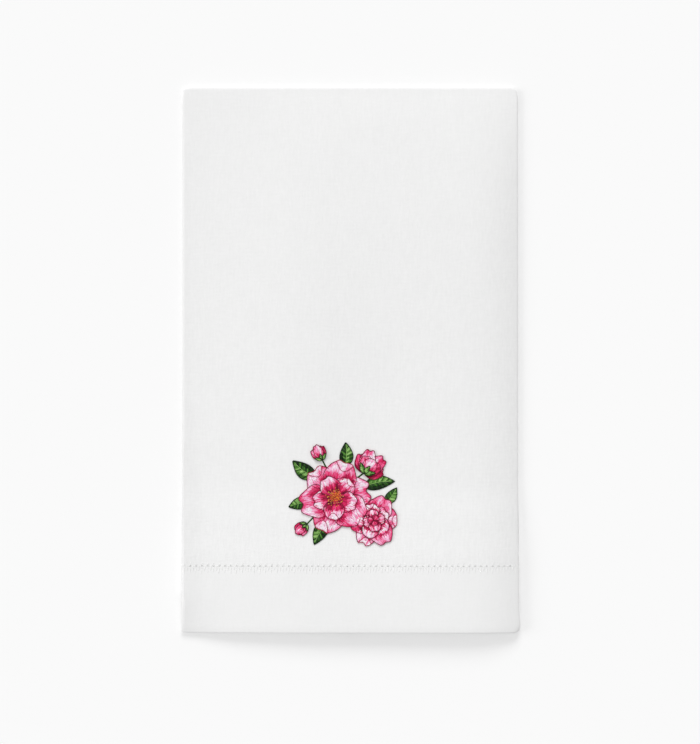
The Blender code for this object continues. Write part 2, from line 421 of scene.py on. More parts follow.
def hemPath(shape):
    # from the tucked raw edge round the hem to its face: along, depth, and the way the right side looks
    ply, thick = towelFold["ply"], towelFold["hemThick"]
    faceMid, backMid = ply / 2, thick - ply / 2
    tuckMid = (ply + backMid - ply / 2) / 2
    turnR, edgeR = (backMid - tuckMid) / 2, (backMid - faceMid) / 2
    turnAt, edgeAt = shape["hemTop"] - turnR - ply / 2, edgeR + ply / 2
    turnSteps, edgeSteps = shape["bendSteps"]

    def bend(at, middle, radius, start, steps):  # half a turn
        for angle in np.linspace(start, start + math.pi, steps):
            c, s = math.cos(angle), math.sin(angle)
            yield at + radius * c, middle + radius * s, c, s

    tucked = np.linspace(turnAt - shape["turnIn"], turnAt, shape["turnInRows"])
    path = [(a, tuckMid, 0, -1) for a in tucked[:-1]]
    path += bend(turnAt, (tuckMid + backMid) / 2, turnR, -math.pi / 2, turnSteps)
    path += [(a, backMid, 0, 1) for a in np.linspace(turnAt, edgeAt, shape["hemRows"])[1:-1]]
    path += bend(edgeAt, (faceMid + backMid) / 2, edgeR, math.pi / 2, edgeSteps)
    face = [*np.linspace(edgeAt, shape["hemTop"], shape["hemRows"])[1:]]
    low, high = shape["holeLow"], shape["holeHigh"]
    face += [low, (low + high) / 2, high, high + shape["rowAbove"]]
    return path + [(a, faceMid, 0, -1) for a in face]


def clothPath(shape):
    length = towelFold["clothLength"]
    near = hemPath(shape)
    far = [(length - a, d, -na, nd) for a, d, na, nd in near][::-1]
    start, mid = near[-1][0], near[-1][1]
    plain = [*np.linspace(start, frontRun, shape["frontRows"])[1:-1]]
    plain += [*np.linspace(frontRun, frontRun + bendRun, shape["bendRows"])]
    plain += [*np.linspace(frontRun + bendRun, length - start, shape["backRows"])[1:-1]]
    return np.array(near + [(a, mid, 0, -1) for a in plain] + far)


def holeHalf(shape, hole):
    reach, narrow = shape["seamHole"]
    return np.where(np.abs(hole) < reach, narrow, shape["holeWidth"]) / 2


def clothColumns(shape):
    pitch = shape["holePitch"]
    count = int((halfWidth - shape["selvedge"]) / pitch)
    holes = np.array([(k + 0.5) * pitch for k in range(-count, count)])
    half = holeHalf(shape, holes)
    columns = [-halfWidth, halfWidth, *(holes - half), *(holes + half)]
    foldEnd = foldX + math.pi * towelFold["hemPressed"] / 2
    for side in (-1, 1):
        for extra in np.linspace(foldX, foldEnd, shape["foldColumns"]):
            if min(abs(side * extra - c) for c in columns) > shape["columnGap"]:
                columns.append(side * extra)
    return np.array(sorted(columns)), holes


def nearestOf(places, holes):
    return holes[np.argmin(np.abs(places[:, None] - holes[None, :]), axis=1)]


def buildCloth():
    shape = clothShape
    path = clothPath(shape)
    columns, holes = clothColumns(shape)
    rows, width = len(path), len(columns)
    along, depth, lookAlong, lookDepth = path.T
    run = np.concatenate([[0], np.cumsum(np.hypot(np.diff(along), np.diff(depth)))])
    half = towelFold["ply"] / 2
    faceStart = int(np.argmin(np.hypot(along - shape["hemTop"], depth - half)))
    run += shape["hemTop"] - run[faceStart]  # on the face, the run is the distance from the hem's edge

    # widen the holes at half their height
    across = np.tile(columns, (rows, 1))
    holeMid = (shape["holeLow"] + shape["holeHigh"]) / 2
    nearest = nearestOf(columns, holes)
    edge = np.abs(np.abs(columns - nearest) - holeHalf(shape, nearest)) < 1e-6
    onFace = lookDepth < -0.99
    fromHem = np.minimum(along, towelFold["clothLength"] - along)
    for r in np.nonzero(onFace & (np.abs(fromHem - holeMid) < 1e-6))[0]:
        across[r] += np.where(edge, np.sign(columns - nearest) * shape["holeSwell"], 0)

    sides = []
    for way in (1, -1):
        a = along + way * half * lookAlong
        d = depth + way * half * lookDepth
        sides.append(towelPlace(across, a[:, None], d[:, None]).reshape(-1, 3))
    vertices = np.concatenate(sides)
    flat = np.stack([across, np.tile(run[:, None], (1, width)), np.zeros((rows, width))], -1).reshape(-1, 3)

    inHole = np.zeros((rows - 1, width - 1), bool)
    mids = (columns[1:] + columns[:-1]) / 2
    nearMid = nearestOf(mids, holes)
    overHole = (np.abs(mids - nearMid) < holeHalf(shape, nearMid)) & (np.abs(mids) < shape["holesEnd"])
    rowMid = (fromHem[1:] + fromHem[:-1]) / 2
    band = (rowMid > shape["holeLow"]) & (rowMid < shape["holeHigh"]) & onFace[1:] & onFace[:-1]
    inHole[np.ix_(band, overHole)] = True

    def corner(r, c, side):
        return side * rows * width + r * width + c

    faces = []
    for r in range(rows - 1):
        for c in range(width - 1):
            if inHole[r, c]:
                continue
            a, b = corner(r, c, 0), corner(r, c + 1, 0)
            d, e = corner(r + 1, c, 0), corner(r + 1, c + 1, 0)
            under = rows * width
            faces.append((a, b, e, d))
            faces.append((a + under, d + under, e + under, b + under))
            if c == 0 or inHole[r, c - 1]:
                faces.append((a, d, d + under, a + under))
            if c == width - 2 or inHole[r, c + 1]:
                faces.append((b, b + under, e + under, e))
            if r == 0 or inHole[r - 1, c]:
                faces.append((a, a + under, b + under, b))
            if r == rows - 2 or inHole[r + 1, c]:
                faces.append((d, e, e + under, d + under))
    mesh = bpy.data.meshes.new("towelCloth")
    mesh.from_pydata(vertices.tolist(), [], faces)
    storeOn(mesh, "flatPlace", np.concatenate([flat, flat]))
    mesh.materials.append(linenMaterial())
    mesh.shade_smooth()
    mesh.set_sharp_from_angle(angle=math.radians(shape["sharpAngle"]))
    mesh.update()
    return putInScene("towelCloth", mesh), run[-1] - run[0]


cloth, cutLength = buildCloth()
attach(cloth, "root")
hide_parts("towel")
print("cloth:", len(cloth.data.polygons), "faces, cut length", round(cutLength, 1), "mm")


def sewOn(piece):
    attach(piece, "root")


# a stitch is a short length of thread that dives into the cloth at both ends
stitchForm = {
    "sides": 5,
    "steps": 4,
    "taper": 0.45,  # how much thinner its ends are
    "rise": 0.72,  # of its middle over its ends, in thicknesses
    "sink": 0.30,  # of its ends under the cloth's face
    "uneven": 0.10,
}


def stitchTree(material):
    tree = bpy.data.node_groups.new("layStitches", "GeometryNodeTree")
    inputs = {"Geometry": "Geometry", "Sides": "Int", "Steps": "Int", "Seed": "Int"}
    inputs |= dict.fromkeys(("Taper", "Rise", "Sink", "Uneven"), "Float")
    for name, kind in inputs.items():
        tree.interface.new_socket(name, in_out="INPUT", socket_type="NodeSocket" + kind)
    tree.interface.new_socket("Geometry", in_out="OUTPUT", socket_type="NodeSocketGeometry")
    points = Wire(tree).node("NodeGroupInput")

    def kept(name, kind="FLOAT_VECTOR"):
        return points.node("GeometryNodeInputNamedAttribute", {"data_type": kind}, {"Name": name})

    # a round bar along X, drawn in at its ends and arched
    bar = points.node("GeometryNodeMeshCylinder", {"fill_type": "NGON"}, {
        "Vertices": points.other("Sides"),
        "Side Segments": points.other("Steps"),
        "Radius": 0.5,
        "Depth": 1.0,
    })
    bar = points.node("GeometryNodeTransform", None, {"Geometry": bar, "Rotation": (0.0, math.pi / 2, 0.0)})
    x, y, z = axes(points.node("GeometryNodeInputPosition"))
    spread = maths("SINE", x * math.pi) * 0.5  # rings crowd towards the ends
    ends = (spread * 2) ** 4
    draw = 1 - points.other("Taper") * ends
    arch = points.other("Rise") * (1 - ends) - points.other("Sink")
    shaped = vector(points, spread, y * draw, z * draw + arch)
    bar = points.node("GeometryNodeSetPosition", None, {"Geometry": bar, "Position": shaped})
    wrap = vector(points, spread, maths("ARCTAN2", y, z) / (2 * math.pi))
    bar = points.node("GeometryNodeStoreNamedAttribute", {"data_type": "FLOAT_VECTOR"}, {
        "Geometry": bar, "Name": "threadWrap", "Value": wrap,
    })

    along = kept("along")
    turned = points.node("FunctionNodeAxesToRotation", {"primary_axis": "X", "secondary_axis": "Z"}, {
        "Primary Axis": along, "Secondary Axis": kept("up"),
    })
    reach = points.node("ShaderNodeVectorMath", {"operation": "LENGTH"}, {0: along}, 1)
    low, high = 1 - points.other("Uneven"), 1 + points.other("Uneven")
    limits = {2: low, 3: high, "Seed": points.other("Seed")}  # 2 and 3 are its limits for plain numbers
    varied = points.node("FunctionNodeRandomValue", {"data_type": "FLOAT"}, limits, 1)
    thick = kept("thick", "FLOAT") * varied
    laid = points.node("GeometryNodeInstanceOnPoints", None, {
        "Points": points, "Instance": bar, "Rotation": turned, "Scale": vector(points, reach, thick, thick),
    })
    laid = points.node("GeometryNodeRealizeInstances", None, {"Geometry": laid})
    laid = points.node("GeometryNodeSetShadeSmooth", None, {"Geometry": laid})
    laid = points.node("GeometryNodeSetMaterial", None, {"Geometry": laid, "Material": material})
    points.node("NodeGroupOutput", None, {"Geometry": laid})
    return tree


def layStitches(name, rows, material, slot, seed):
    # a row is (across, along, lift) at its start and its end, its thickness and its tone
    start, end, thick, tone = (np.array(column) for column in zip(*rows))
    first = towelPlace(start[:, 0], start[:, 1], -start[:, 2])
    last = towelPlace(end[:, 0], end[:, 1], -end[:, 2])
    across, along, lift = ((start + end) / 2).T
    up = towelPlace(across, along, -lift - 0.5) - towelPlace(across, along, -lift)
    up /= np.linalg.norm(up, axis=1)[:, None]
    mesh = bpy.data.meshes.new(name + "Points")
    mesh.from_pydata(((first + last) / 2).tolist(), [], [])
    reach = np.linalg.norm(end - start, axis=1)
    kept = {"along": last - first, "up": up, "thick": thick * mm, "tone": tone, "reach": reach}
    for key, values in kept.items():
        storeOn(mesh, key, values)
    holder = putInScene(name + "Points", mesh)
    live = holder.modifiers.new("stitches", "NODES")
    live.node_group = stitchTree(material)
    wanted = {key.capitalize(): value for key, value in stitchForm.items()} | {"Seed": seed}
    for item in live.node_group.interface.items_tree:
        if item.in_out == "INPUT" and item.name in wanted:
            live[item.identifier] = wanted[item.name]
    plain = bpy.data.meshes.new_from_object(holder.evaluated_get(bpy.context.evaluated_depsgraph_get()))
    bpy.data.objects.remove(holder)
    plain.name = name
    sewOn(putInScene(name, plain))
    print(name + ":", len(rows), "stitches,", sum(len(p.vertices) - 2 for p in plain.polygons), "triangles")


def threadMaterial(name, stops, roughness, twist):
    material, wire, shader = newMaterial(name)
    along, turn, _ = axes(stored(wire, "threadWrap", 1))
    run = along * stored(wire, "reach", 2)  # millimetres along the thread
    strand = (run * twist["turnsPerMm"] + turn * twist["strands"]) * (2 * math.pi)
    groove = maths("SINE", strand) * 0.5 + 0.5
    # painted shade: the grooves between a thread's strands are painted darker, beside their bump
    shade = stored(wire, "tone", 2) + (groove - 0.5) * twist["shade"]
    fillSockets(shader, {
        "Base Color": wire.node("ShaderNodeValToRGB", {"stops": stops}, {"Fac": shade}),
        "Normal": bump(groove, twist["depth"]),
        "Roughness": roughness,
        "Specular IOR Level": twist["gloss"],
    })
    return material


# hemstitch: a row of small holes, with the bars between them bound by white thread
hemstitch = {
    "thread": 0.23,
    "strands": 4,  # threads left standing in each bar
    "strandThick": 0.24,
    "lift": (-0.04, -0.14),  # on the front, and on the back, which is pressed flat
    "tuck": 0.1,  # how far from the ends of the holes a stitch begins
    "top": 0.25,  # how far above the holes the strands start
    "fan": (0.5, 0.8),  # what their top adds to a bar's width, and their foot's share of it
    "stabs": (3.8, 2.3),  # how far the stitches run down into the hem, under a hole and under a bar
    "stabShares": (0.85, 1.1),  # least and most
    "lean": 0.55,
    "leanShares": (0.3, 1.0),
    "catch": 1.6,  # how far the small stitches above the holes reach
    "catches": (  # beside a hole: where one starts and ends, and its shortest and longest share
        (0.5, 0.1, 0.7, 1.1),
        (-0.5, -0.2, 0.5, 0.9),
    ),
    "rest": {"strand": -0.07, "binding": -0.05, "stabs": (0.02, 0.06), "catch": 0.02},  # over the cloth
}

# a twist's shade is painted shade in the grooves between its strands
sewingTwist = {"turnsPerMm": 1.1, "strands": 2, "depth": 0.00004, "shade": 0.10, "gloss": 0.22}


def hemstitchRows(flip):
    shape, work, rest = clothShape, hemstitch, hemstitch["rest"]
    draw = random.Random(5 if flip else 4)
    _, holes = clothColumns(shape)
    low, high, pitch = shape["holeLow"], shape["holeHigh"], shape["holePitch"]
    barWidth = pitch - shape["holeWidth"] - 2 * shape["holeSwell"]
    tuck, (fanTop, fanFoot) = work["tuck"], work["fan"]
    gather = barWidth / 2 + tuck
    thread, strands = work["thread"], work["strands"]
    rows = []

    def put(x0, a0, x1, a1, lift, thick=thread):
        if flip:
            a0, a1 = towelFold["clothLength"] - a0, towelFold["clothLength"] - a1
        lift += work["lift"][flip]
        rows.append(((x0, a0, lift), (x1, a1, lift), thick, 0.55 + draw.uniform(-0.25, 0.25)))

    for hole in holes:
        bar = hole + pitch / 2
        for s in range(strands):
            spread = (s + 0.5) / strands - 0.5
            top, foot = bar + spread * barWidth + spread * fanTop, bar + spread * barWidth * fanFoot
            put(top, high + work["top"], foot, low - tuck, rest["strand"], work["strandThick"])
        put(bar - gather, low + tuck, bar + gather, low + tuck, rest["binding"])
        underHole, underBar = (reach * draw.uniform(*work["stabShares"]) for reach in work["stabs"])
        lean = work["lean"] * draw.uniform(*work["leanShares"])
        put(hole, low + tuck, hole - lean, low - underHole, rest["stabs"][0])
        put(bar, low + tuck / 2, bar - lean * 0.7, low - underBar, rest["stabs"][1])
        for start, end, least, most in work["catches"]:
            reach = work["catch"] * draw.uniform(least, most)
            put(hole + start, high - tuck, hole + end, high + reach, rest["catch"], thread * 0.85)
    return rows


whiteStops = ((0.0, (0.84, 0.84, 0.83)), (1.0, (0.95, 0.95, 0.94)))
sewingThread = threadMaterial("whiteSewingThread", whiteStops, 0.6, sewingTwist)
layStitches("hemstitchFront", hemstitchRows(False), sewingThread, "linen_thread", 11)
layStitches("hemstitchBack", hemstitchRows(True), sewingThread, "linen_thread", 12)


# embroidery, in millimetres from the middle of the spray
spray = {
    "at": (-3.4, 74.2),  # across the cloth, and from the front hem's edge
    "pitch": 0.30,  # from thread to thread
    "thread": 0.38,
    "stitch": (1.9, 3.4),  # shortest and longest of the long and short stitches
    "overlap": 0.45,
    "narrow": (0.55, 0.27),  # under these shares of its width a petal loses 1/2 and 3/4 of its columns
    "uneven": {"petal": 0.12, "leaf": 0.22, "stem": 0.14, "line": 0.05},  # how far their tones vary
    "padding": 0.28,  # how far a petal or a leaf stands up in its middle
    "layer": 0.05,  # each petal of a ring over the one before
    "outline": (0.42, 1.0, 0.17),  # thickness, length and height of the stitches round a form
    "lap": 0.18,  # how far the stitches of a line run on, of their length
    "lip": ((-0.25, 0.25), (0.5, 0.65), (0.2, 0.3)),  # a turned-over lip's middle, half width and depth
}

# a twist's shade is painted shade in the grooves between its strands
silkTwist = {"turnsPerMm": 0.9, "strands": 2, "depth": 0.00003, "shade": 0.05, "gloss": 0.22}

# tone 0 is the deepest shade of a thread family and 1 the palest
pinkStops = (
    (0.0, (0.15, 0.001, 0.022)),
    (0.18, (0.44, 0.002, 0.055)),
    (0.39, (0.78, 0.016, 0.13)),
    (0.59, (0.93, 0.14, 0.34)),
    (0.79, (0.97, 0.51, 0.74)),
    (0.96, (0.98, 0.90, 0.96)),
)
greenStops = (
    (0.0, (0.002, 0.012, 0.001)),
    (0.35, (0.012, 0.060, 0.006)),
    (0.7, (0.09, 0.27, 0.03)),
    (1.0, (0.44, 0.70, 0.24)),
)
goldStops = (
    (0.0, (0.55, 0.05, 0.02)),
    (0.4, (0.86, 0.20, 0.03)),
    (0.75, (0.96, 0.44, 0.05)),
    (1.0, (0.97, 0.70, 0.20)),
)

sprayX, sprayY = spray["at"]
stitches = {}  # by piece: start, end, thickness and tone, with a height over the cloth as third coordinate
needle = random.Random(27)


def uneven(kind):
    most = spray["uneven"][kind]
    return needle.uniform(-most, most)


def turned(point, degrees):
    c, s = math.cos(math.radians(degrees)), math.sin(math.radians(degrees))
    return point[0] * c - point[1] * s, point[0] * s + point[1] * c


def covered(points, outlines):  # which points lie under one of the outlines
    points = np.array(points)[:, :2]
    x, y = points.T
    under = np.zeros(len(x), bool)
    for outline in outlines:
        corners = np.array(outline)[:, :2]
        if not ((points > corners.min(0)) & (points < corners.max(0))).all(1).any():
            continue
        inside = np.zeros(len(x), bool)
        for (ax, ay), (bx, by) in zip(corners, np.roll(corners, -1, 0)):
            if ay != by:
                inside ^= ((ay > y) != (by > y)) & (x < ax + (y - ay) * (bx - ax) / (by - ay))
        under |= inside
    return under


def sewVisible(piece, made, above):
    # leaves out each stitch that later petals and leaves cover from end to end
    hidden = covered([m[0] for m in made], above) & covered([m[1] for m in made], above)
    hidden &= covered([[(a + b) / 2 for a, b in zip(*m[:2])] for m in made], above)
    stitches.setdefault(piece, []).extend(m for m, hide in zip(made, hidden) if not hide)


def followLine(piece, line, tone, thick, step, rise, above):
    # short stitches end to end along a line of points
    gone = np.concatenate([[0], np.cumsum([math.dist(p, q) for p, q in zip(line, line[1:])])])
    marks = np.linspace(0, gone[-1], max(1, round(gone[-1] / step)) + 1)
    points = np.stack([np.interp(marks, gone, axis) for axis in zip(*line)], -1) + (0, 0, rise)
    made = []
    for p, q in zip(points, points[1:]):
        reach = (q - p) * spray["lap"]
        made.append((tuple(p - reach), tuple(q + reach), thick, tone + uneven("line")))
    sewVisible(piece, made, above)


def outlineOf(form):
    point = form["point"]
    edge = [point(form, t, -1) for t in np.linspace(0.0, 1, 16)]
    edge += [point(form, 1, s) for s in np.linspace(-1, 1, 24)[1:-1]]
    edge += [point(form, t, 1) for t in np.linspace(1, 0.0, 16)]
    return edge + [point(form, 0, s) for s in np.linspace(1, -1, 12)[1:]]


plainPetal = {
    "start": 0.3,
    "notch": 0.05,  # at its tip
    "notchWidth": 0.28,
    "crown": 0.30,  # how far its tip falls away to its sides
    "ruffle": 0.03,
    "ruffles": 6.5,
    "waist": 1.1,
    "base": 0.10,  # its width there, of its full width
    "widest": 0.72,  # where it is widest, from its base to its tip
    "narrowing": 0.15,  # from there to its tip
    "streaks": ((0.15, 4.6), (0.11, 10.3)),  # strength and number
    "edge": -0.08,  # tones: towards its sides, from side to side, and of its outline
    "shade": 0.0,
    "outline": 0.0,
}

plainLip = {
    "past": 1.01,  # where its edge lies, just past the petal's own
    "height": 0.10,  # over the petal, and how much more in its middle
    "roll": 0.12,
    "tones": (0.62, 0.92, 1.0),
    "edge": 0.0,
    "shade": 0.0,
    "outline": 0.16,
}


def petalPoint(petal, t, s):
    # t runs from its base to its tip, s from one side to the other
    tip = 1 - petal["crown"] * abs(s) ** 3 - petal["notch"] * math.exp(-((s / petal["notchWidth"]) ** 2))
    widest, base = petal["widest"], petal["base"]
    wide = base + (1 - base) * math.sin(math.pi / 2 * min(1.0, t / widest)) ** petal["waist"]
    wide *= 1 - petal["narrowing"] * max(0.0, (t - widest) / (1 - widest)) ** 2
    ruffle = 1 + petal["ruffle"] * math.sin(s * petal["ruffles"] + petal["turn"])
    out = petal["start"] + t * (petal["length"] - petal["start"]) * tip * ruffle
    x, y = turned((out, s * petal["width"] / 2 * wide), petal["turn"])
    height = petal["lift"] + spray["padding"] * (1 - s * s) * math.sin(math.pi * t)
    return petal["at"][0] + x, petal["at"][1] + y, height


def lipPoint(petal, t, s):
    # the crescent of its tip that is turned over: t runs from the petal's inside to its edge
    middle, half, depth = petal["lip"]
    x, y, _ = petalPoint(petal, petal["past"] - depth * (1 - t) * (1 - s * s), middle + half * s)
    return x, y, petal["lift"] + petal["height"] + petal["roll"] * math.sin(math.pi * t) * (1 - s * s)


def petalTone(petal, t, s):
    tones = petal["tones"]
    streak = 0
    for order, (strength, number) in enumerate(petal["streaks"], 1):
        streak += strength * math.sin(number * s + order * petal["turn"])
    tone = float(np.interp(t, np.linspace(0, 1, len(tones)), tones))
    return tone + streak * (1.1 - 0.5 * t) + petal["edge"] * abs(s) ** 3 + petal["shade"] * s


def fillPetal(petal, above):
    # long and short stitches from its base to its tip
    point = petal["point"]
    steps = np.linspace(0, 1, 9)
    widths = np.array([math.dist(point(petal, t, -1), point(petal, t, 1)) for t in steps])
    columns = max(3, round(widths.max() / spray["pitch"]))
    made = []
    for i in range(columns):
        s = -1 + (2 * i + 1) / columns
        # a narrow base has no room for every column
        needed = spray["narrow"][0] if i % 2 else spray["narrow"][1] if i % 4 else 0
        t = float(steps[np.argmax(widths >= needed * widths.max())])
        run = math.dist(point(petal, 0, s), point(petal, 1, s))
        while t < 1 and run > 0.4:
            end = t + needle.uniform(*spray["stitch"]) / run
            end = 1.0 if end > 1 - 0.4 * spray["stitch"][0] / run else end
            start = max(0.0, t - spray["overlap"] / run * needle.random())
            first, last = (s + needle.uniform(-0.35, 0.35) / columns for _ in range(2))
            tone = petalTone(petal, (start + end) / 2, s) + uneven("petal")
            made.append((point(petal, start, first), point(petal, end, last), spray["thread"], tone))
            t = end
    sewVisible(petal["piece"], made, above)


def petalForms(piece, petal):
    # a petal, and its turned-over lip if it has one
    kind = {"piece": piece, "point": petalPoint, "fill": fillPetal, "tone": petalTone}
    petal = plainPetal | petal | kind
    return [petal, petal | plainLip | {"point": lipPoint}] if "lip" in petal else [petal]


def bloomForms(bloom):
    forms = []
    for count, turn, length, width, lift, tones, lips in bloom["rings"]:
        order = [*range(0, count, 2), *range(1, count, 2)]
        for place, index in enumerate(order):
            petal = {
                "at": bloom["at"],
                "turn": turn + index * 360 / count + needle.uniform(-4, 4),
                "start": length * 0.02,
                "length": length * needle.uniform(0.93, 1.05),
                "width": width * needle.uniform(0.94, 1.06),
                "notch": bloom["notch"] * needle.uniform(0.4, 1.3),
                "lift": lift + spray["layer"] * place,
                "shade": bloom["shade"],
                "tones": tones,
            }
            if index in lips:
                petal["lip"] = [needle.uniform(*limits) for limits in spray["lip"]]
            forms += petalForms(bloom["piece"], petal)
    return forms


def sewStamens(bloom):
    core, (x, y), lift = bloom["core"], bloom["at"], bloom["core"]["lift"]
    made = []
    for i in range(core["filaments"]):
        way = i * 360 / core["filaments"] + needle.uniform(-5, 5)
        reach = core["reach"] * needle.uniform(0.5, 1.0)
        start, end = turned((0.4, 0), way), turned((reach, 0), way + needle.uniform(-5, 5))
        tip = turned((reach + core["tipLength"], 0), way)
        start, end, tip = ((x + p[0], y + p[1], lift) for p in (start, end, tip))
        made.append((start, end, core["filament"], needle.uniform(0.2, 0.9)))
        made.append((end, tip, core["tip"], needle.uniform(0.5, 1.0)))
    for i in range(core["knots"]):
        way, out = i * 137.5, core["heart"] * math.sqrt((i + 0.5) / core["knots"])
        dx, dy = turned((core["knotLength"] / 2, 0), way * 1.7)
        cx, cy = (c + p for c, p in zip((x, y), turned((out, 0), way)))
        top = lift + core["knotLift"]
        ends = (cx - dx, cy - dy, top), (cx + dx, cy + dy, top)
        made.append((*ends, core["knot"], needle.uniform(0.0, 0.65)))
    sewVisible("stamenStitches", made, ())


plainLeaf = {
    "bend": 0.0,
    "lift": 0.02,
    "swell": 1.8,  # of each half, in paddings; the rib lies in a groove between them
    "belly": 0.82,  # less than 1 brings its widest place nearer to its base
    "fullness": 0.92,
    "veins": 6.5,
    "veinSlant": 0.10,
    "slant": 0.17,  # how far up the leaf a stitch runs on its way from the rib
    "pitch": 0.95,  # of the spray's
    "stitch": 2.3,
    "glow": 0.34,  # tones: of the pale middle of each half, of the veins, the edge and the rib
    "glowAt": (0.40, 0.24),  # its middle and half width, from the rib to the edge
    "veinShade": 0.40,
    "edgeShade": 0.36,
    "ribShade": 0.30,
    "ribWidth": 0.14,
    "rib": 0.86,  # of the stitches down its middle
    "ribStitch": (0.34, 1.6, 0.10),  # their thickness, length and height
    "outline": 0.0,
}


def leafPoint(leaf, t, s):
    wide = math.sin(math.pi * t ** leaf["belly"]) ** leaf["fullness"] if 0 < t < 1 else 0.0
    x = t * leaf["length"]
    y = leaf["bend"] * leaf["length"] * math.sin(math.pi * t) + s * leaf["width"] / 2 * wide
    x, y = turned((x, y), leaf["turn"])
    height = leaf["lift"] + spray["padding"] * leaf["swell"] * abs(s) * (1 - abs(s)) * wide
    return leaf["at"][0] + x, leaf["at"][1] + y, height


def leafTone(leaf, t, s):
    base = float(np.interp(s, (-0.2, 0.2), leaf["tones"]))
    ripple = math.cos(2 * math.pi * (leaf["veins"] * (t - leaf["veinSlant"] * abs(s))))
    between = 0.5 - 0.5 * ripple  # 0 on a vein
    middle, half = leaf["glowAt"]
    glow = leaf["glow"] * math.exp(-(((abs(s) - middle) / half) ** 2)) * math.sin(math.pi * t)
    tone = base + glow + leaf["veinShade"] * (between**0.5 - 0.72) - leaf["edgeShade"] * abs(s) ** 3
    return tone - leaf["ribShade"] * math.exp(-((s / leaf["ribWidth"]) ** 2))


def fillLeaf(leaf, above):
    # slanted stitches from its rib to its edge, with darker veins between them
    slant = leaf["slant"]
    count = round(leaf["length"] / (spray["pitch"] * leaf["pitch"]))
    made = []
    for side in (-1, 1):
        for i in range(-round(slant * count), count):
            t = (i + 0.5) / count
            to = min(0.985, t + slant * (1 - 0.4 * t))
            t = max(0.01, t)
            length = math.dist(leafPoint(leaf, t, 0.02 * side), leafPoint(leaf, to, side))
            parts = max(1, round(length / leaf["stitch"]))
            cuts = [k / parts + needle.uniform(-0.08, 0.08) * (0 < k < parts) for k in range(parts + 1)]
            for low, high in zip(cuts, cuts[1:]):
                ends = [leafPoint(leaf, max(0.01, t - 0.03) + (to - t) * v, side * v) for v in (low, high)]
                middle = (low + high) / 2
                tone = leafTone(leaf, t + (to - t) * middle, side * middle) + uneven("leaf")
                made.append((*ends, spray["thread"], tone))
    sewVisible("leafStitches", made, above)
    rib = [leafPoint(leaf, t, 0) for t in np.linspace(0.0, 0.9, 12)]
    followLine("leafStitches", rib, leaf["rib"], *leaf["ribStitch"], above)


def leafForm(leaf):
    kind = {"piece": "leafStitches", "point": leafPoint, "fill": fillLeaf, "tone": leafTone}
    return plainLeaf | leaf | kind


stemForm = {
    "pitch": 0.9,  # of the spray's
    "ahead": 0.8,  # how far on a stitch looks for its way
    "slant": 0.55,
    "taper": 0.35,
    "thread": 0.36,
}


def sewStem(through, width, tone):
    form = stemForm
    first, middle, last = (np.array(point) for point in through)
    t = np.linspace(0, 1, 40)[:, None]
    line = (1 - t) ** 2 * first + 2 * t * (1 - t) * middle + t * t * last
    gone = np.concatenate([[0], np.cumsum(np.linalg.norm(np.diff(line, axis=0), axis=1))])

    def pointAt(run):
        return np.array([np.interp(run, gone, axis) for axis in line.T])

    made = []
    for g in np.arange(0, gone[-1], spray["pitch"] * form["pitch"]):
        here, ahead = pointAt(g), pointAt(min(gone[-1], g + form["ahead"]))
        dx, dy = ahead - here
        half = width / 2 * (1 - form["taper"] * g / gone[-1]) / (math.hypot(dx, dy) or 1.0)
        aside = np.array((-dy * half, dx * half))
        start, end = here - aside, here + aside + (ahead - here) * form["slant"]
        made.append(((*start, 0.0), (*end, 0.0), form["thread"], tone + uneven("stem")))
    sewVisible("stemStitches", made, ())


padForm = {
    "rows": 10,
    "columns": 9,
    "inside": (0.015, 0.03),  # its tips and its sides lie this share inside the outline
    "sink": 0.05,  # under the threads
    # painted shade: how much darker a pad is than its stitches, for the shadow between them
    "shade": 0.12,
}


def layPadding(name, forms, material, slot):
    # a low closed pad under each petal or leaf, so that no cloth shows between the threads; it is painted
    # darker than its stitches, as painted shadow between them
    vertices, faces, tones = [], [], []
    rows, columns = padForm["rows"], padForm["columns"]
    atTip, atSide = padForm["inside"]
    for form in forms:
        first, under = len(vertices), rows * columns
        for bottom in (False, True):
            for t in np.linspace(atTip, 1 - atTip, rows):
                for s in np.linspace(atSide - 1, 1 - atSide, columns):
                    x, y, height = form["point"](form, t, s)
                    vertices.append((x, y, 0.0 if bottom else height - padForm["sink"]))
                    tones.append(form["tone"](form, t, s) - padForm["shade"])
        for r in range(rows - 1):
            for c in range(columns - 1):
                a = first + r * columns + c
                quad = (a, a + columns, a + columns + 1, a + 1)
                faces += [quad, tuple(v + under for v in reversed(quad))]
        rim = [first + r * columns for r in range(rows)]
        rim += [first + (rows - 1) * columns + c for c in range(1, columns)]
        rim += [first + r * columns + columns - 1 for r in range(rows - 2, -1, -1)]
        rim += [first + c for c in range(columns - 2, 0, -1)]
        faces += [(p, p + under, q + under, q) for p, q in zip(rim, rim[1:] + rim[:1])]
    x, y, height = np.array(vertices).T
    mesh = bpy.data.meshes.new(name)
    mesh.from_pydata(towelPlace(x + sprayX, y + sprayY, -height).tolist(), [], faces)
    storeOn(mesh, "tone", np.array(tones))
    mesh.materials.append(material)
    mesh.shade_smooth()
    sewOn(putInScene(name, mesh))
    print(name + ":", len(forms), "pads")


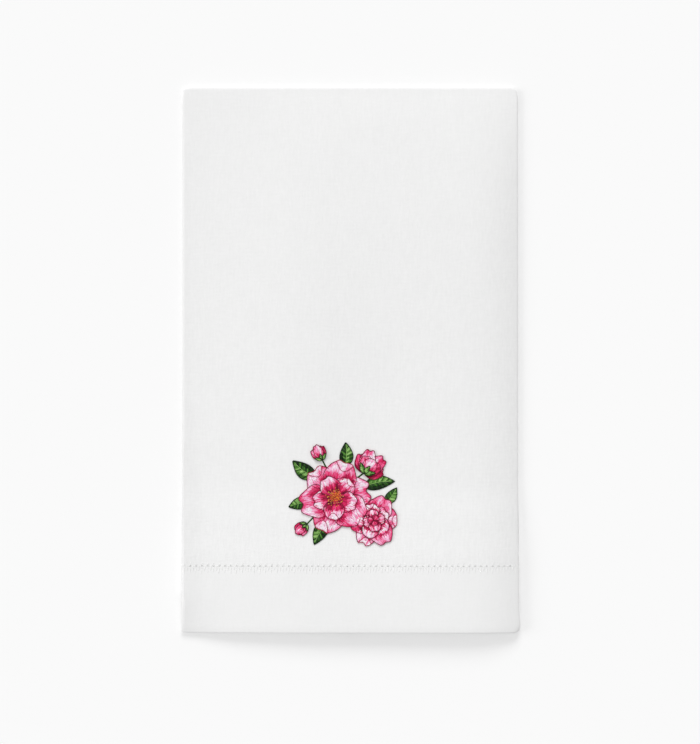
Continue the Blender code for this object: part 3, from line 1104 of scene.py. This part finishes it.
# each ring: petals, first turn, length, width, lift, tones from base to tip,
# and which petals have a turned-over lip
mainBloom = {
    "piece": "mainBloomStitches", "at": (-4.6, -2.0), "notch": 0.08, "shade": 0.16,
    "rings": (
        (6, 14, 19.2, 18.6, 0.20, (0.00, 0.06, 0.18, 0.42, 0.88, 0.46), (1, 2, 4)),
        (5, 48, 12.0, 11.6, 0.52, (0.10, 0.12, 0.20, 0.44, 1.00, 0.68), (0, 3)),
    ),
    "core": {
        "filaments": 44, "filament": 0.26, "reach": 4.8, "tip": 0.54, "tipLength": 0.45,
        "knots": 40, "knot": 0.5, "knotLength": 0.64, "knotLift": 0.12, "heart": 2.5, "lift": 0.84,
    },
}
sideBloom = {
    "piece": "sideBloomStitches", "at": (15.8, -14.4), "notch": 0.06, "shade": -0.16,
    "rings": (
        (6, 5, 13.6, 13.4, 0.18, (0.00, 0.08, 0.18, 0.42, 0.84, 0.44), (0, 4)),
        (5, 33, 9.4, 9.4, 0.44, (0.04, 0.08, 0.16, 0.38, 1.00, 0.62), (1, 2)),
        (4, 12, 6.0, 6.8, 0.68, (0.06, 0.12, 0.30, 0.90, 0.52), ()),
        (3, 50, 3.2, 4.2, 0.90, (0.10, 0.20, 0.46, 0.88), ()),
    ),
}

# the half-open blossom and the buds: petals from one base as swing, length, width and tone,
# the nearest last
cups = (
    {
        "at": (10.6, 10.4), "turn": 54, "sepal": 6.2,
        "petals": (
            (-48, 10.6, 7.6, 0.26), (46, 10.8, 7.8, 0.34), (-17, 13.6, 9.2, 0.44), (19, 13.2, 8.8, 0.62),
            (-28, 9.8, 7.4, 0.30), (26, 9.6, 7.2, 0.42), (-2, 9.4, 8.0, 0.66),
        ),
    },
    {
        "at": (-11.4, 17.6), "turn": 116, "sepal": 4.2,
        "petals": ((-22, 7.6, 4.8, 0.24), (22, 7.8, 4.8, 0.50), (0, 8.8, 5.2, 0.62)),
    },
    {
        "at": (-19.6, -16.2), "turn": 222, "sepal": 4.0,
        "petals": ((-20, 7.2, 4.4, 0.30), (21, 7.0, 4.4, 0.56), (0, 8.0, 4.8, 0.46)),
    },
)

leafTable = (  # x, y, turn, length, width, bend, the two halves' tones
    (-18.4, -5.0, 192, 11.2, 6.4, -0.06, (0.54, 0.20)),
    (-14.5, 8.0, 144, 15.8, 8.2, 0.06, (0.20, 0.54)),
    (-8.5, -15.6, 238, 13.8, 7.2, -0.06, (0.54, 0.20)),
    (21.8, -5.6, 54, 10.6, 5.6, -0.05, (0.54, 0.20)),
    (10.5, 3.4, 10, 16.8, 7.6, 0.06, (0.20, 0.54)),
    (0.5, 13.5, 88, 13.6, 7.2, -0.05, (0.54, 0.20)),
)

stemTable = (  # three points of a curve, width, tone
    (((4.0, 5.0), (7.6, 8.8), (11.2, 11.0)), 1.3, 0.36),
    (((-7.0, 10.0), (-9.8, 14.0), (-11.6, 18.0)), 1.1, 0.40),
    (((-13.0, -10.0), (-16.6, -13.0), (-19.8, -16.6)), 1.1, 0.36),
)


cupForm = {
    "waist": 0.75,
    "tones": (-0.34, -0.14, 0.28, -0.06),  # over a petal's own, from its base to its tip
    "lift": 0.20,
    "shade": 0.16,  # each petal is paler towards the cup's middle
    "sepals": ((-52, 1.0), (52, 1.0), (-4, 0.84)),  # swing, and share of the full length
    "sepal": {"tones": (0.44, 0.60), "veins": 1.5, "lift": 0.90},
    "sepalWidth": 0.42,  # of the full length
}


def cupForms(cup):
    forms, look = [], cupForm
    for i, (swing, length, width, tone) in enumerate(cup["petals"]):
        forms += petalForms("blossomStitches", {
            "at": cup["at"],
            "turn": cup["turn"] + swing,
            "length": length,
            "width": width,
            "waist": look["waist"],
            "tones": [tone + more for more in look["tones"]],
            "lift": look["lift"] + spray["layer"] * i,
            "shade": look["shade"] if swing < 0 else -look["shade"],
        })
    for swing, share in look["sepals"]:
        forms.append(leafForm(look["sepal"] | {
            "at": cup["at"],
            "turn": cup["turn"] + swing,
            "length": cup["sepal"] * share,
            "width": cup["sepal"] * look["sepalWidth"],
        }))
    return forms


leafForms = [
    leafForm({"at": (x, y), "turn": turn, "length": length, "width": width, "bend": bend, "tones": tones})
    for x, y, turn, length, width, bend, tones in leafTable
]
for stem in stemTable:
    sewStem(*stem)
budForms = [form for cup in cups for form in cupForms(cup)]
forms = leafForms + budForms + bloomForms(sideBloom) + bloomForms(mainBloom)  # the lowest first
outlines = [outlineOf(form) for form in forms]
for index, form in enumerate(forms):
    above = outlines[index + 1:]
    form["fill"](form, above)
    piece = "leafStitches" if form["fill"] is fillLeaf else "petalOutlines"
    followLine(piece, outlines[index], form["outline"], *spray["outline"], above)
sewStamens(mainBloom)

threads = {
    "pink": (threadMaterial("pinkSilkThread", pinkStops, 0.42, silkTwist), "pink_thread"),
    "green": (threadMaterial("greenSilkThread", greenStops, 0.45, silkTwist), "green_thread"),
    "gold": (threadMaterial("goldSilkThread", goldStops, 0.42, silkTwist), "gold_thread"),
}
layPadding("petalPadding", [form for form in forms if form["fill"] is fillPetal], *threads["pink"])
layPadding("leafPadding", [form for form in forms if form["fill"] is fillLeaf], *threads["green"])


def onCloth(point):
    return point[0] + sprayX, point[1] + sprayY, point[2]


for seed, (piece, made) in enumerate(stitches.items(), 21):
    colour = "green" if piece[:4] in ("leaf", "stem") else "gold" if piece[:6] == "stamen" else "pink"
    rows = [(onCloth(a), onCloth(b), thick, min(1, max(0, tone))) for a, b, thick, tone in made]
    layStitches(piece, rows, *threads[colour], seed)

cutLength * mm


photo = {
    "width": 700,
    "pixel": 0.5306,  # millimetres of the towel for one pixel
    "middle": (-0.35, -6.18),  # of the picture, on the towel
    "faceHeight": 7.0,
    "distance": 2200.0,
}

studio = {
    "floorSize": 6.0,  # metres
    "floor": (0.68, 0.68, 0.68),
    "floorGlow": 0.264,  # a lit table, so that its shadows are pale
    "world": 0.524,
    "lamps": {  # irradiance, softness in degrees, and where it shines from
        "overhead": (0.24, 5.0, (0.0, 0.0, 1.0)),
        "northWindow": (1.42, 32.0, (0.0, 0.788, 0.616)),
        "westWindow": (0.86, 34.0, (-0.862, 0.0, 0.507)),
    },
}


def buildStudio():
    bpy.ops.mesh.primitive_plane_add(size=studio["floorSize"])
    floor = bpy.context.object
    floor.name = "floor"
    material, _, shader = newMaterial("palePaper")
    fillSockets(shader, {
        "Base Color": (*studio["floor"], 1),
        "Roughness": 1.0,
        "Specular IOR Level": 0.0,
        "Emission Color": (1, 1, 1, 1),
        "Emission Strength": studio["floorGlow"],
    })
    floor.data.materials.append(material)

    scene = bpy.context.scene
    scene.world = bpy.data.worlds.new("softRoom")
    scene.world.use_nodes = True
    background = scene.world.node_tree.nodes["Background"]
    fillSockets(background, {"Color": (1, 1, 1, 1), "Strength": studio["world"]})

    for name, (energy, softness, shinesFrom) in studio["lamps"].items():
        light = bpy.data.lights.new(name, "SUN")
        light.energy = energy
        light.angle = math.radians(softness)
        putInScene(name, light).rotation_euler = Vector(shinesFrom).to_track_quat("Z", "Y").to_euler()

    camera = bpy.data.cameras.new("above")
    camera.sensor_fit = "HORIZONTAL"
    camera.lens = camera.sensor_width * photo["distance"] / (photo["width"] * photo["pixel"])
    scene.camera = putInScene("above", camera)
    scene.camera.location = Vector((*photo["middle"], photo["faceHeight"] + photo["distance"])) * mm
    scene.view_settings.view_transform = "Standard"


buildStudio()
print("studio ready")
